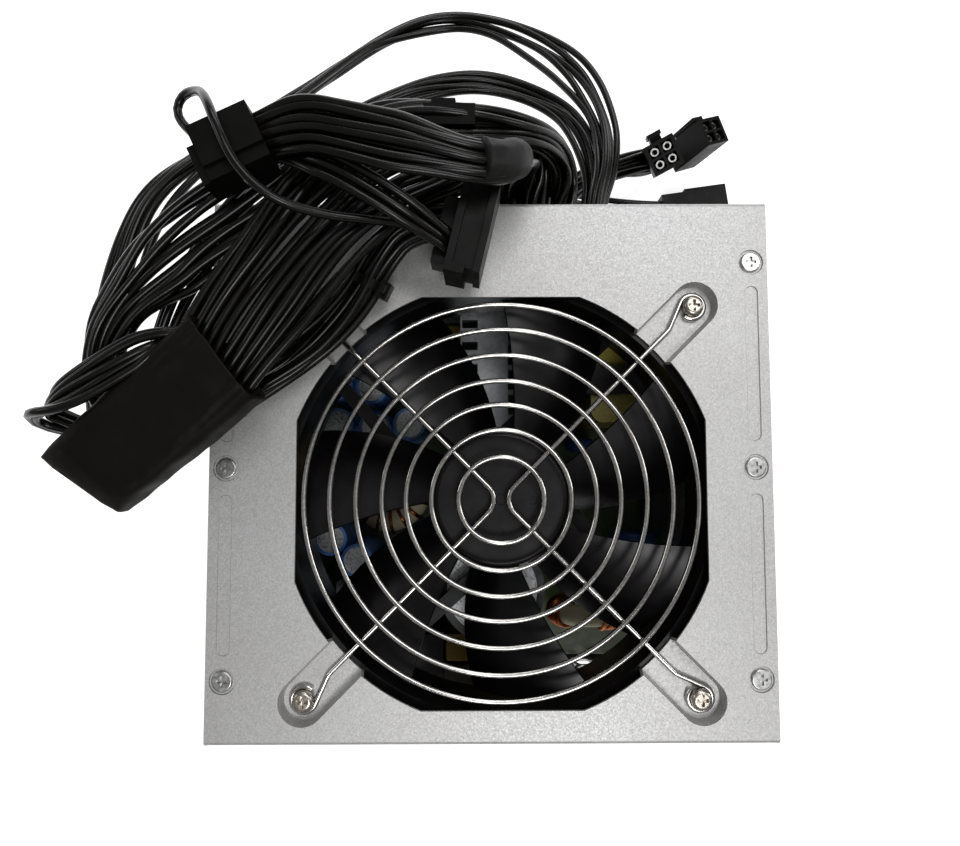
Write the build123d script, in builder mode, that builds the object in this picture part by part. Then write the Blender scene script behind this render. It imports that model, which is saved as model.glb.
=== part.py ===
"""Computer power supply unit with a 120 mm fan and its cable harness.

Frame: millimetres, +Z up. The origin is the centre of the case's underside, the fan looks up,
+Y points out of the cable wall and -Y out of the mains wall.
"""

import os
from math import asin, atan2, cos, degrees, hypot, pi, radians, sin, tan

from build123d import *

os.makedirs("parts", exist_ok=True)

# ---------------------------------------------------------------- driving dimensions
WIDTH = 150.0
DEPTH = 144.0
HEIGHT = 86.0
SHEET = 0.8

FAN_X = 2.7
FAN_Y = -8.6
FAN_SIZE = 120.0
FAN_THICKNESS = 25.0
FAN_HOLE_PITCH = 105.0
FAN_FLANGE = 4.0
DUCT_RADIUS = 57.5
BLADE_COUNT = 7
BLADE_RADIUS = 55.5
HUB_RADIUS = 18.7
SHAFT_RADIUS = 1.5
RUNNING_CLEARANCE = 0.04

POCKET_DEPTH = 4.0
CUT_HALF_SIDE = 54.7
CUT_RADIUS = 58.7

WIRE_RADIUS = 0.75
GUARD_RING_RADII = (11.5, 18.8, 25.6, 32.1, 39.1, 46.1, 53.0)

COVER_SCREW_X = 70.5
COVER_SCREW_Y = (-55.5, 0.0, 55.5)

BOARD_TOP = 8.6
BOARD_THICKNESS = 1.6
STANDOFF_XY = ((-62.0, -60.0), (62.0, -60.0), (-62.0, 46.0), (62.0, 46.0))

INLET_X = -50.0
SWITCH_X = -22.0
MAINS_Z = 24.0

GROMMET_X = 18.0
GROMMET_Z = 60.0
GROMMET_LENGTH = 44.0
GROMMET_HEIGHT = 22.0
CABLE_START_Y = 69.5

# ---------------------------------------------------------------- worked out from them
TOP_INNER = HEIGHT - SHEET
POCKET_FLOOR = HEIGHT - POCKET_DEPTH
FAN_TOP = POCKET_FLOOR - SHEET
FAN_BOTTOM = FAN_TOP - FAN_THICKNESS
WALL_INNER_Y = DEPTH / 2 - SHEET
LEG_Z = POCKET_FLOOR + WIRE_RADIUS
RING_Z = LEG_Z + 2 * WIRE_RADIUS - 0.05
HALF_PITCH = FAN_HOLE_PITCH / 2


def save(piece, label):
    """Name a finished piece and write it as its own STEP."""
    piece.part.label = label
    export_step(piece.part, f"parts/{label}.step")


def fan_plane(z):
    """A level plane on the fan's axis at height z."""
    return Plane(origin=(FAN_X, FAN_Y, z))


# ================================================================ case
# case base: floor and two side walls with inward flanges
FLANGE = 9.0
FLANGE_LENGTH = DEPTH - 2 * SHEET - 2
with BuildPart() as case_base:
    with BuildSketch(Plane.XY):
        Rectangle(WIDTH, DEPTH)
    extrude(amount=SHEET)
    with BuildSketch(Plane.XY):
        with Locations((-(WIDTH - SHEET) / 2, 0), ((WIDTH - SHEET) / 2, 0)):
            Rectangle(SHEET, DEPTH)
    extrude(amount=TOP_INNER)
    with BuildSketch(Plane.XY.offset(TOP_INNER - SHEET)):
        with Locations((-(WIDTH - FLANGE) / 2, 0), ((WIDTH - FLANGE) / 2, 0)):
            Rectangle(FLANGE, FLANGE_LENGTH)
    extrude(amount=SHEET)
    fillet(case_base.edges().filter_by(Axis.Y).group_by(Axis.Z)[0], radius=0.7)
    with BuildSketch(Plane.XY.offset(TOP_INNER)):
        with Locations([(side * COVER_SCREW_X, y) for side in (-1, 1) for y in COVER_SCREW_Y]):
            Circle(1.45)
    extrude(amount=-3, mode=Mode.SUBTRACT)
save(case_base, "case_base")

# case cover: fan face, mains wall and cable wall bent from one sheet
BEND_RADIUS = 1.2
POCKET_HALF_TOP = 6.2
POCKET_HALF_FLOOR = 5.5
POCKET_TAPER = degrees(atan2(POCKET_HALF_TOP - POCKET_HALF_FLOOR, POCKET_DEPTH))
POCKET_START = 44.0
POCKET_END = HALF_PITCH * 2**0.5
SCREW_DIMPLE_RADIUS = 3.45
SCREW_DIMPLE_DEPTH = 0.5
BEAD_LENGTH = 42.0
BEAD_WIDTH = 3.6
BEAD_DEPTH = 0.35
BEAD_Y = 28.0
VENT_PITCH = 7.6
VENT_RADIUS = 3.5
MOUNT_HOLE_RADIUS = 1.75
MOUNT_COLLAR_RADIUS = 2.7
MOUNT_COLLAR_DEPTH = 1.2
MOUNT_HOLES = ((69.0, 6.0), (-45.0, 6.0), (69.0, 80.0), (-69.0, 70.0))


def pocket_sketch(half_width):
    """One diagonal channel from the fan opening to just past its screw."""
    length = POCKET_END - POCKET_START
    middle = (POCKET_START + POCKET_END) / 2
    for corner in range(4):
        turn = 45 + 90 * corner
        spot = (middle * cos(radians(turn)), middle * sin(radians(turn)))
        with Locations(Location((spot[0], spot[1], 0), (0, 0, turn))):
            SlotCenterToCenter(length, 2 * half_width)


with BuildPart() as case_cover:
    with BuildSketch(Plane.XY.offset(TOP_INNER)):
        Rectangle(WIDTH, DEPTH)
    extrude(amount=SHEET)
    with BuildSketch(Plane.XY.offset(SHEET)):
        with Locations((0, -(DEPTH - SHEET) / 2), (0, (DEPTH - SHEET) / 2)):
            Rectangle(WIDTH - 2 * SHEET, SHEET)
    extrude(amount=TOP_INNER - SHEET)
    fillet(case_cover.edges().filter_by(Axis.X).group_by(Axis.Z)[-1], radius=BEND_RADIUS)
    # pockets that sink the fan screws below the face
    with BuildSketch(fan_plane(HEIGHT)):
        pocket_sketch(POCKET_HALF_TOP + SHEET)
    extrude(amount=-(POCKET_DEPTH + SHEET), taper=POCKET_TAPER)
    with BuildSketch(fan_plane(HEIGHT)):
        pocket_sketch(POCKET_HALF_TOP)
    extrude(amount=-POCKET_DEPTH, taper=POCKET_TAPER, mode=Mode.SUBTRACT)
    # fan opening: a square with its corners cut back by a circle
    with BuildSketch(fan_plane(HEIGHT + 1)):
        Rectangle(2 * CUT_HALF_SIDE, 2 * CUT_HALF_SIDE)
        Circle(CUT_RADIUS, mode=Mode.INTERSECT)
    extrude(amount=-(POCKET_DEPTH + 4), mode=Mode.SUBTRACT)
    with BuildSketch(fan_plane(HEIGHT)):
        with GridLocations(FAN_HOLE_PITCH, FAN_HOLE_PITCH, 2, 2):
            Circle(2.3)
    extrude(amount=-(POCKET_DEPTH + 2), mode=Mode.SUBTRACT)
    # cover screw dimples and holes
    screw_spots = [(side * COVER_SCREW_X, y) for side in (-1, 1) for y in COVER_SCREW_Y]
    with BuildSketch(Plane.XY.offset(HEIGHT)):
        with Locations(screw_spots):
            Circle(SCREW_DIMPLE_RADIUS)
    extrude(amount=-SCREW_DIMPLE_DEPTH, taper=20, mode=Mode.SUBTRACT)
    with BuildSketch(Plane.XY.offset(HEIGHT)):
        with Locations(screw_spots):
            Circle(1.75)
    extrude(amount=-2, mode=Mode.SUBTRACT)
    # long shallow stiffening beads
    with BuildSketch(Plane.XY.offset(HEIGHT)):
        for side in (-1, 1):
            for y in (-BEAD_Y, BEAD_Y):
                with Locations(Location((side * COVER_SCREW_X, y, 0), (0, 0, 90))):
                    SlotOverall(BEAD_LENGTH, BEAD_WIDTH)
    extrude(amount=-BEAD_DEPTH, taper=30, mode=Mode.SUBTRACT)
    # mains wall: threaded collars, inlet and switch openings, honeycomb vents
    mains_inner = Plane(origin=(0, -WALL_INNER_Y, 0), x_dir=(1, 0, 0), z_dir=(0, -1, 0))
    with BuildSketch(mains_inner.offset(-MOUNT_COLLAR_DEPTH)):
        with Locations(MOUNT_HOLES):
            Circle(MOUNT_COLLAR_RADIUS)
    extrude(amount=MOUNT_COLLAR_DEPTH)
    with BuildSketch(mains_inner.offset(-MOUNT_COLLAR_DEPTH - 1)):
        with Locations(MOUNT_HOLES):
            Circle(MOUNT_HOLE_RADIUS)
        with Locations((INLET_X, MAINS_Z)):
            Rectangle(27.2, 19.8)
        with Locations((SWITCH_X, MAINS_Z)):
            Rectangle(13.2, 19.4)
        with Locations((32.0, 43.0)):
            with HexLocations(VENT_PITCH / 2, 8, 9):
                RegularPolygon(VENT_RADIUS, 6)
        with Locations((-40.0, 60.0)):
            with HexLocations(VENT_PITCH / 2, 6, 4):
                RegularPolygon(VENT_RADIUS, 6)
    extrude(amount=MOUNT_COLLAR_DEPTH + 3, mode=Mode.SUBTRACT)
    # cable wall: oblong cable hole and a row of cooling slots
    cable_inner = Plane(origin=(0, WALL_INNER_Y, 0), x_dir=(-1, 0, 0), z_dir=(0, 1, 0))
    with BuildSketch(cable_inner.offset(-1)):
        with Locations((-GROMMET_X, GROMMET_Z)):
            SlotOverall(GROMMET_LENGTH, GROMMET_HEIGHT)
        with Locations((42.0, 40.0)):
            with GridLocations(7.0, 0, 6, 1):
                SlotOverall(30.0, 3.4, rotation=90)
    extrude(amount=3, mode=Mode.SUBTRACT)
save(case_cover, "case_cover")


def cross_recess(size):
    """Sketch of a cross-head driver recess, cut downwards by the caller."""
    Rectangle(size, size / 3.4)
    Rectangle(size / 3.4, size)


# cover screws: six countersunk-look pan screws
with BuildPart() as cover_screws:
    with BuildSketch(Plane.XY.offset(HEIGHT - SCREW_DIMPLE_DEPTH)):
        with Locations(screw_spots):
            Circle(2.75)
    extrude(amount=0.9)
    fillet(cover_screws.edges().group_by(Axis.Z)[-1], radius=0.45)
    with BuildSketch(Plane.XY.offset(HEIGHT - SCREW_DIMPLE_DEPTH)):
        with Locations(screw_spots):
            Circle(1.4)
    extrude(amount=-5.0)
    with BuildSketch(Plane.XY.offset(HEIGHT + 1)):
        with Locations(screw_spots):
            cross_recess(2.9)
    extrude(amount=-1.35, mode=Mode.SUBTRACT)
save(cover_screws, "cover_screws")

# fan screws: four pan heads on the guard's hooks
FAN_HEAD_BOTTOM = POCKET_FLOOR + 2 * WIRE_RADIUS
with BuildPart() as fan_screws:
    with BuildSketch(fan_plane(FAN_HEAD_BOTTOM)):
        with GridLocations(FAN_HOLE_PITCH, FAN_HOLE_PITCH, 2, 2):
            Circle(2.8)
    extrude(amount=1.9)
    fillet(fan_screws.edges().group_by(Axis.Z)[-1], radius=1.1)
    with BuildSketch(fan_plane(FAN_HEAD_BOTTOM)):
        with GridLocations(FAN_HOLE_PITCH, FAN_HOLE_PITCH, 2, 2):
            Circle(2.0)
    extrude(amount=-8.0)
    with BuildSketch(fan_plane(FAN_HEAD_BOTTOM + 2.5)):
        with GridLocations(FAN_HOLE_PITCH, FAN_HOLE_PITCH, 2, 2):
            cross_recess(3.2)
    extrude(amount=-1.8, mode=Mode.SUBTRACT)
save(fan_screws, "fan_screws")

# ================================================================ fan guard
with BuildPart() as guard_rings:
    for ring_radius in GUARD_RING_RADII:
        with Locations(Location((FAN_X, FAN_Y, RING_Z))):
            Torus(ring_radius, WIRE_RADIUS)
save(guard_rings, "guard_rings")

# two V-shaped leg wires, each ending in two open hooks round the fan screws
HOOK_RADIUS = 3.25
HOOK_TURN = 285.0
LEG_APEX_RADIUS = 5.0
LEG_BEND_BEFORE_SCREW = 9.0


def hook_points(corner_turn):
    """Bend point, tangent point and arc start angle of the hook on one diagonal."""
    screw = (POCKET_END * cos(radians(corner_turn)), POCKET_END * sin(radians(corner_turn)))
    reach = POCKET_END - LEG_BEND_BEFORE_SCREW
    bend = (reach * cos(radians(corner_turn)), reach * sin(radians(corner_turn)))
    lean = degrees(asin(HOOK_RADIUS / LEG_BEND_BEFORE_SCREW))
    normal = corner_turn + lean + 90
    tangent = (
        screw[0] + HOOK_RADIUS * cos(radians(normal)),
        screw[1] + HOOK_RADIUS * sin(radians(normal)),
    )
    return screw, bend, tangent, normal


def leg_wire(first_turn, second_turn):
    """Lines of one leg wire from hook to hook round the middle of the guard."""
    screw_a, bend_a, tangent_a, angle_a = hook_points(first_turn)
    screw_b, bend_b, tangent_b, angle_b = hook_points(second_turn)
    CenterArc(screw_a, HOOK_RADIUS, angle_a, -HOOK_TURN)
    FilletPolyline(
        tangent_a,
        bend_a,
        (0, 0),
        bend_b,
        tangent_b,
        radius=[4.0, LEG_APEX_RADIUS, 4.0],
    )
    CenterArc(screw_b, HOOK_RADIUS, angle_b, -HOOK_TURN)


def swept_wire(line, radius):
    """Sweep a round wire along the wire of a finished line builder."""
    path = line.wires()[0]
    with BuildSketch(Plane(origin=path @ 0, z_dir=path % 0)) as section:
        Circle(radius)
    sweep(section.sketch, path=path)


with BuildPart() as guard_legs:
    for first_corner, second_corner in ((45, -45), (225, 135)):
        with BuildLine(fan_plane(LEG_Z)) as leg_line:
            leg_wire(first_corner, second_corner)
        swept_wire(leg_line, WIRE_RADIUS)
save(guard_legs, "guard_legs")

# ================================================================ fan
PLATE_THICKNESS = 2.4
STRUT_COUNT = 4
BUSH_RADIUS = 3.5
with BuildPart() as fan_frame:
    for flange_z in (FAN_BOTTOM, FAN_TOP - FAN_FLANGE):
        with BuildSketch(fan_plane(flange_z)):
            RectangleRounded(FAN_SIZE, FAN_SIZE, 7.0)
            Circle(DUCT_RADIUS, mode=Mode.SUBTRACT)
            with GridLocations(FAN_HOLE_PITCH, FAN_HOLE_PITCH, 2, 2):
                Circle(2.05, mode=Mode.SUBTRACT)
        extrude(amount=FAN_FLANGE)
    with BuildSketch(fan_plane(FAN_BOTTOM)):
        Circle(DUCT_RADIUS + 2.0)
        Circle(DUCT_RADIUS, mode=Mode.SUBTRACT)
    extrude(amount=FAN_THICKNESS)
    with BuildSketch(fan_plane(FAN_BOTTOM)):
        Circle(20.5)
        for strut in range(STRUT_COUNT):
            turn = 62 + strut * 360 / STRUT_COUNT
            spot = (38.5 * cos(radians(turn)), 38.5 * sin(radians(turn)))
            with Locations(Location((spot[0], spot[1], 0), (0, 0, turn - 20))):
                Rectangle(43.0, 4.2)
        Circle(DUCT_RADIUS + 1.0, mode=Mode.INTERSECT)
    extrude(amount=PLATE_THICKNESS)
    with BuildSketch(fan_plane(FAN_BOTTOM)):
        Circle(5.0)
    extrude(amount=15.5)
    with BuildSketch(fan_plane(FAN_BOTTOM + PLATE_THICKNESS)):
        Circle(BUSH_RADIUS)
    extrude(amount=20, mode=Mode.SUBTRACT)
save(fan_frame, "fan_frame")

ROTOR_TOP = FAN_TOP - 1.0
ROTOR_BOTTOM = FAN_BOTTOM + PLATE_THICKNESS + 2.0
HUB_ROUND = 1.6
HUB_INNER_RADIUS = 16.3
HUB_CROWN = 2.2


def blade_section(distance, middle, half_angle, low, high, camber):
    """Airfoil between trailing and leading edge on a plane square to the radius."""
    half_chord = distance * tan(radians(half_angle))
    rise = high - low
    chord = hypot(2 * half_chord, rise)
    up = (-rise / chord, 2 * half_chord / chord)
    mean_z = (low + high) / 2
    crown = (up[0] * (camber + 0.9), mean_z + up[1] * (camber + 0.9))
    belly = (up[0] * (camber - 0.9), mean_z + up[1] * (camber - 0.9))
    edge = (up[0] * 0.35, up[1] * 0.35)
    direction = (cos(radians(middle)), sin(radians(middle)), 0)
    plane = Plane(
        origin=(distance * direction[0], distance * direction[1], 0),
        x_dir=(-direction[1], direction[0], 0),
        z_dir=direction,
    )
    with BuildSketch(plane) as section:
        with BuildLine():
            ThreePointArc(
                (-half_chord + edge[0], low + edge[1]),
                crown,
                (half_chord + edge[0], high + edge[1]),
            )
            Line((half_chord + edge[0], high + edge[1]), (half_chord - edge[0], high - edge[1]))
            ThreePointArc(
                (half_chord - edge[0], high - edge[1]),
                belly,
                (-half_chord - edge[0], low - edge[1]),
            )
            Line((-half_chord - edge[0], low - edge[1]), (-half_chord + edge[0], low + edge[1]))
        make_face()
    return section.sketch


with BuildPart() as blade:
    blade_root = blade_section(17.2, 110.9, 19.4, ROTOR_BOTTOM + 2.5, ROTOR_TOP - 1.6, 1.2)
    blade_middle = blade_section(37.0, 118.6, 18.0, ROTOR_BOTTOM + 3.5, ROTOR_TOP - 1.2, 2.2)
    blade_tip = blade_section(58.0, 126.0, 15.9, ROTOR_BOTTOM + 5.0, ROTOR_TOP - 1.2, 2.6)
    loft(sections=[blade_root, blade_middle, blade_tip])
    with BuildSketch(Plane.XY.offset(ROTOR_BOTTOM - 5)):
        Circle(BLADE_RADIUS)
    extrude(amount=FAN_THICKNESS + 10, mode=Mode.INTERSECT)

with BuildPart() as fan_rotor:
    with BuildSketch(fan_plane(ROTOR_BOTTOM)):
        Circle(HUB_RADIUS)
    extrude(amount=ROTOR_TOP - ROTOR_BOTTOM)
    fillet(fan_rotor.edges().group_by(Axis.Z)[-1], radius=HUB_ROUND)
    for number in range(BLADE_COUNT):
        turn = number * 360 / BLADE_COUNT
        add(blade.part.moved(Location((FAN_X, FAN_Y, 0), (0, 0, turn))))
    with BuildSketch(fan_plane(ROTOR_BOTTOM)):
        Circle(HUB_INNER_RADIUS)
    extrude(amount=ROTOR_TOP - ROTOR_BOTTOM - HUB_CROWN, mode=Mode.SUBTRACT)
    # centre mark and gate dimples on the crown
    with BuildSketch(fan_plane(ROTOR_TOP)):
        Circle(1.7)
        Circle(1.2, mode=Mode.SUBTRACT)
        with PolarLocations(8.8, 2, start_angle=-92, angular_range=180):
            Circle(1.2)
    extrude(amount=-0.4, mode=Mode.SUBTRACT)
save(fan_rotor, "fan_rotor")

with BuildPart() as rotor_magnet:
    with BuildSketch(fan_plane(ROTOR_BOTTOM + 1)):
        Circle(HUB_INNER_RADIUS)
        Circle(14.8, mode=Mode.SUBTRACT)
    extrude(amount=13.0)
save(rotor_magnet, "rotor_magnet")

with BuildPart() as fan_shaft:
    with BuildSketch(fan_plane(FAN_BOTTOM + PLATE_THICKNESS + 1.0)):
        Circle(SHAFT_RADIUS)
    extrude(amount=ROTOR_TOP - HUB_CROWN - (FAN_BOTTOM + PLATE_THICKNESS + 1.0))
save(fan_shaft, "fan_shaft")

with BuildPart() as fan_bearing:
    with BuildSketch(fan_plane(FAN_BOTTOM + PLATE_THICKNESS)):
        Circle(BUSH_RADIUS)
        Circle(SHAFT_RADIUS + RUNNING_CLEARANCE, mode=Mode.SUBTRACT)
    extrude(amount=12.5)
save(fan_bearing, "fan_bearing")

with BuildPart() as fan_stator:
    with BuildSketch(fan_plane(FAN_BOTTOM + PLATE_THICKNESS + 3.0)):
        Circle(7.0)
        Circle(5.05, mode=Mode.SUBTRACT)
        with PolarLocations(9.4, 4):
            Rectangle(7.0, 6.0)
        with PolarLocations(12.8, 4):
            Rectangle(2.0, 13.0)
        Circle(14.2, mode=Mode.INTERSECT)
        Circle(5.05, mode=Mode.SUBTRACT)
    extrude(amount=9.0)
save(fan_stator, "fan_stator")

# ================================================================ circuit board and what stands on it
with BuildPart() as insulating_sheet:
    with BuildSketch(Plane.XY.offset(SHEET)):
        Rectangle(140, 130)
        with Locations(STANDOFF_XY):
            Circle(4.5, mode=Mode.SUBTRACT)
    extrude(amount=0.4)
save(insulating_sheet, "insulating_sheet")

with BuildPart() as board_standoffs:
    with BuildSketch(Plane.XY.offset(SHEET)):
        with Locations(STANDOFF_XY):
            RegularPolygon(3.4, 6)
            Circle(1.5, mode=Mode.SUBTRACT)
    extrude(amount=BOARD_TOP - BOARD_THICKNESS - SHEET)
save(board_standoffs, "board_standoffs")

with BuildPart() as circuit_board:
    with BuildSketch(Plane.XY.offset(BOARD_TOP - BOARD_THICKNESS)):
        with Locations((0, -7)):
            Rectangle(136, 124)
        with Locations(STANDOFF_XY):
            Circle(1.7, mode=Mode.SUBTRACT)
    extrude(amount=BOARD_THICKNESS)
save(circuit_board, "circuit_board")

with BuildPart() as board_screws:
    with BuildSketch(Plane.XY.offset(BOARD_TOP)):
        with Locations(STANDOFF_XY):
            Circle(2.8)
    extrude(amount=2.0)
    fillet(board_screws.edges().group_by(Axis.Z)[-1], radius=0.9)
    with BuildSketch(Plane.XY.offset(BOARD_TOP)):
        with Locations(STANDOFF_XY):
            Circle(1.4)
    extrude(amount=-5.5)
save(board_screws, "board_screws")

# heatsinks: an upright plate with a folded, slotted top and side fins
with BuildPart() as secondary_heatsink:
    with BuildSketch(Plane.XY.offset(BOARD_TOP)):
        with Locations((-1.5, 28)):
            Rectangle(3.0, 44)
    extrude(amount=44.0)
    with BuildSketch(Plane.XY.offset(BOARD_TOP + 41.5)):
        with Locations((-1.5, 28)):
            Rectangle(15.0, 44)
        with Locations((-6.0, 28)):
            with GridLocations(0, 7.0, 1, 6):
                Rectangle(5.0, 2.6, mode=Mode.SUBTRACT)
    extrude(amount=2.5)
    with BuildSketch(Plane.XY.offset(BOARD_TOP + 4)):
        with Locations((4.0, 28)):
            with GridLocations(0, 8.0, 1, 6):
                Rectangle(8.0, 1.6)
    extrude(amount=37.5)
save(secondary_heatsink, "secondary_heatsink")

with BuildPart() as primary_heatsink:
    with BuildSketch(Plane.XY.offset(BOARD_TOP)):
        with Locations((63.0, 2)):
            Rectangle(3.0, 56)
        with Locations((67.0, 2)):
            with GridLocations(0, 6.0, 1, 10):
                Rectangle(5.4, 1.6)
    extrude(amount=42.0)
save(primary_heatsink, "primary_heatsink")

# power transistors and rectifiers clipped to the plates
with BuildPart() as power_transistors:
    with BuildSketch(Plane.XY.offset(BOARD_TOP + 5)):
        with Locations((59.0, -14), (59.0, 0), (59.0, 13)):
            Rectangle(5.0, 10.4)
        with Locations((-5.5, 12.5), (-5.5, 26), (-5.5, 39.5)):
            Rectangle(5.0, 10.4)
    extrude(amount=16.0)
    with BuildSketch(Plane.XY.offset(BOARD_TOP)):
        for y in (-14, 0, 13):
            with Locations((59.0, y)):
                with GridLocations(0, 2.6, 1, 3):
                    Rectangle(0.7, 1.0)
        for y in (12.5, 26, 39.5):
            with Locations((-5.5, y)):
                with GridLocations(0, 2.6, 1, 3):
                    Rectangle(0.7, 1.0)
    extrude(amount=5.0)
save(power_transistors, "power_transistors")

with BuildPart() as bridge_rectifier:
    with BuildSketch(Plane.XY.offset(BOARD_TOP + 3)):
        with Locations((-25, -38)):
            Rectangle(5.0, 20.0)
    extrude(amount=15.0)
    chamfer(bridge_rectifier.edges().group_by(Axis.Z)[-1], length=0.6)
    with BuildSketch(Plane.XY.offset(BOARD_TOP)):
        with Locations((-25, -38)):
            with GridLocations(0, 5.0, 1, 4):
                Rectangle(0.8, 1.2)
    extrude(amount=3.0)
save(bridge_rectifier, "bridge_rectifier")

# capacitors: aluminium cans inside printed plastic sleeves, cross-vented tops
BULK_XY = ((0.8, -38.0),)
BULK_RADIUS = 16.0
BULK_HEIGHT = 43.0
OUTPUT_XY = (
    (-38.7, 26.5),
    (-50.0, 14.4),
    (-37.5, 13.4),
    (-26.2, 14.4),
    (-51.8, -23.2),
    (-43.0, -30.2),
    (-50.5, 27.5),
    (-26.2, 27.5),
)
OUTPUT_RADIUS = 5.0
OUTPUT_HEIGHT = 33.0
SLEEVE_THICKNESS = 0.35


def capacitor_cans(spots, radius, height):
    """Cans with a rolled rim, a sunk top and a cross vent."""
    with BuildSketch(Plane.XY.offset(BOARD_TOP)) as can:
        with Locations(spots):
            Circle(radius)
    extrude(can.sketch, amount=height)
    with BuildSketch(Plane.XY.offset(BOARD_TOP + height)) as recess:
        with Locations(spots):
            Circle(radius * 0.86)
    extrude(recess.sketch, amount=-0.5, mode=Mode.SUBTRACT)
    with BuildSketch(Plane.XY.offset(BOARD_TOP + height - 0.5)) as vent:
        with Locations(spots):
            Rectangle(radius * 1.3, 0.5)
            Rectangle(0.5, radius * 1.3)
    extrude(vent.sketch, amount=-0.3, mode=Mode.SUBTRACT)


def capacitor_sleeves(spots, radius, height):
    """Shrunk sleeves that lap over the rim of each can."""
    with BuildSketch(Plane.XY.offset(BOARD_TOP)) as wall:
        with Locations(spots):
            Circle(radius + SLEEVE_THICKNESS)
            Circle(radius, mode=Mode.SUBTRACT)
    extrude(wall.sketch, amount=height + SLEEVE_THICKNESS)
    with BuildSketch(Plane.XY.offset(BOARD_TOP + height)) as lip:
        with Locations(spots):
            Circle(radius + SLEEVE_THICKNESS)
            Circle(radius * 0.88, mode=Mode.SUBTRACT)
    extrude(lip.sketch, amount=SLEEVE_THICKNESS)


with BuildPart() as bulk_capacitor:
    capacitor_cans(BULK_XY, BULK_RADIUS, BULK_HEIGHT)
save(bulk_capacitor, "bulk_capacitor")

with BuildPart() as bulk_capacitor_sleeve:
    capacitor_sleeves(BULK_XY, BULK_RADIUS, BULK_HEIGHT)
save(bulk_capacitor_sleeve, "bulk_capacitor_sleeve")

with BuildPart() as output_capacitors:
    capacitor_cans(OUTPUT_XY, OUTPUT_RADIUS, OUTPUT_HEIGHT)
save(output_capacitors, "output_capacitors")

with BuildPart() as output_capacitor_sleeves:
    capacitor_sleeves(OUTPUT_XY, OUTPUT_RADIUS, OUTPUT_HEIGHT)
save(output_capacitor_sleeves, "output_capacitor_sleeves")

# transformers: E-cores round a taped winding
MAIN_TRANSFORMER = (44.0, 28.0)
STANDBY_TRANSFORMER = (24.0, 42.0)
with BuildPart() as transformer_windings:
    with BuildSketch(Plane.XY.offset(BOARD_TOP + 3)):
        with Locations(MAIN_TRANSFORMER):
            RectangleRounded(22.0, 27.0, 4.0)
    extrude(amount=36.0)
    with BuildSketch(Plane.XY.offset(BOARD_TOP + 3)):
        with Locations(STANDBY_TRANSFORMER):
            RectangleRounded(13.0, 12.0, 2.5)
    extrude(amount=15.0)
    # window for the middle limb of each core
    with BuildSketch(Plane.XY.offset(BOARD_TOP)):
        with Locations(MAIN_TRANSFORMER):
            Rectangle(9.0, 9.0)
        with Locations(STANDBY_TRANSFORMER):
            Rectangle(4.6, 4.6)
    extrude(amount=50.0, mode=Mode.SUBTRACT)
save(transformer_windings, "transformer_windings")

with BuildPart() as transformer_cores:
    for spot, limb, span, height, leg in (
        (MAIN_TRANSFORMER, 9.0, 31.0, 42.0, 3.8),
        (STANDBY_TRANSFORMER, 4.6, 18.0, 21.0, 2.3),
    ):
        with BuildSketch(Plane.XY.offset(BOARD_TOP)):
            with Locations(spot):
                Rectangle(span, limb)
        extrude(amount=3.0)
        with BuildSketch(Plane.XY.offset(BOARD_TOP + height - 3.0)):
            with Locations(spot):
                Rectangle(span, limb)
        extrude(amount=3.0)
        with BuildSketch(Plane.XY.offset(BOARD_TOP)):
            with Locations(spot):
                Rectangle(limb, limb)
                with GridLocations(span - leg, 0, 2, 1):
                    Rectangle(leg, limb)
        extrude(amount=height)
save(transformer_cores, "transformer_cores")

# chokes: toroid cores with separate copper turns
OUTPUT_CHOKE = Plane(origin=(-36.0, -8.0, BOARD_TOP + 6.2))
INPUT_CHOKE = Plane(origin=(35.0, -50.0, BOARD_TOP + 15.0), x_dir=(1, 0, 0), z_dir=(0, -1, 0))
TURN_RADIUS = 0.6


def choke_turns(plane, ring_radius, core_radius, count, start, sweep_angle):
    """Copper turns round a toroid core, one closed ring for each turn."""
    turn_radius = core_radius + TURN_RADIUS + 0.05
    for number in range(count):
        angle = radians(start + sweep_angle * number / (count - 1))
        centre = plane.from_local_coords((ring_radius * cos(angle), ring_radius * sin(angle), 0))
        along = plane.from_local_coords((-sin(angle), cos(angle), 0)) - plane.origin
        with Locations(Plane(origin=centre, z_dir=along)):
            Torus(turn_radius, TURN_RADIUS)


with BuildPart() as choke_cores:
    with Locations(OUTPUT_CHOKE):
        Torus(10.5, 4.6)
    with Locations(INPUT_CHOKE):
        Torus(10.0, 3.6)
save(choke_cores, "choke_cores")

with BuildPart() as choke_windings:
    choke_turns(OUTPUT_CHOKE, 10.5, 4.6, 16, 20, 320)
    choke_turns(INPUT_CHOKE, 10.0, 3.6, 10, -35, 110)
    choke_turns(INPUT_CHOKE, 10.0, 3.6, 10, 145, 70)
save(choke_windings, "choke_windings")

with BuildPart() as film_capacitors:
    with BuildSketch(Plane.XY.offset(BOARD_TOP)):
        with Locations((-4.5, -62.0)):
            Rectangle(20.0, 9.0)
    extrude(amount=18.0)
    with BuildSketch(Plane.XY.offset(BOARD_TOP)):
        with Locations((-13.5, 49.0)):
            Rectangle(7.0, 4.5)
    extrude(amount=12.0)
    fillet(film_capacitors.edges().filter_by(Axis.Z), radius=0.8)
save(film_capacitors, "film_capacitors")

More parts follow.
